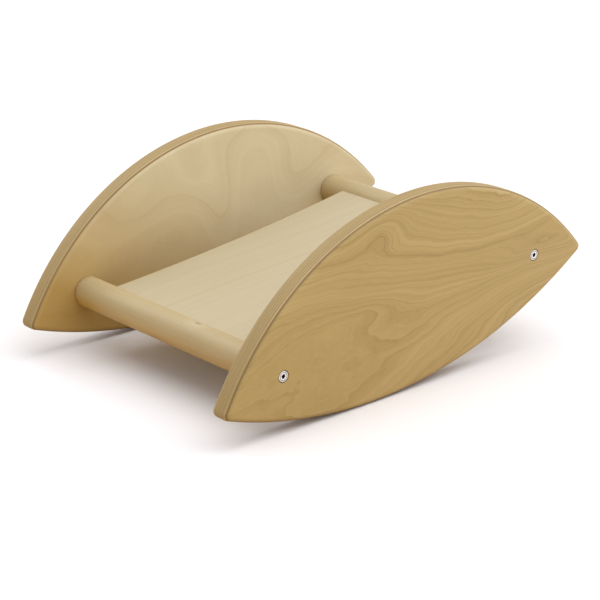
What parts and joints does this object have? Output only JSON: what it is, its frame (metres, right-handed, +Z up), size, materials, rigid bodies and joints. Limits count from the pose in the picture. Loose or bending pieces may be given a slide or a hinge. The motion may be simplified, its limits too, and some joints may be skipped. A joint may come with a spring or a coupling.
{
  "type": "rocking seat",
  "caption": "Toddler's wooden rocking seat: two lens-shaped plywood sides joined by round cross-bars and a flat seat board.",
  "frame": {"origin": "on the floor under the middle of the rocker", "axes": "+X along the rocker, with the front bar at -X; +Y across it, towards the right side panel; +Z up"},
  "size_m": [0.4488, 0.308, 0.181],
  "materials": {
    "panel_ply": "clear satin lacquer on birch plywood",
    "seat_ply": "clear matt lacquer on pale birch plywood",
    "bar_wood": "clear satin lacquer on solid birch",
    "dowel_wood": "raw beech",
    "screw_steel": "bright nickel plate",
    "insert_brass": "plain brass"
  },
  "bodies": {
    "root": {"side_panel_left": "panel_ply", "side_panel_right": "panel_ply", "front_bar": "bar_wood", "rear_bar": "bar_wood", "seat_board": "seat_ply", "panel_screw_front_left": "screw_steel", "panel_screw_front_right": "screw_steel", "panel_screw_rear_left": "screw_steel", "panel_screw_rear_right": "screw_steel", "threaded_insert_front_left": "insert_brass", "threaded_insert_front_right": "insert_brass", "threaded_insert_rear_left": "insert_brass", "threaded_insert_rear_right": "insert_brass", "seat_dowel_front_1": "dowel_wood", "seat_dowel_front_2": "dowel_wood", "seat_dowel_front_3": "dowel_wood", "seat_dowel_rear_1": "dowel_wood", "seat_dowel_rear_2": "dowel_wood", "seat_dowel_rear_3": "dowel_wood"}
  },
  "joints": []
}
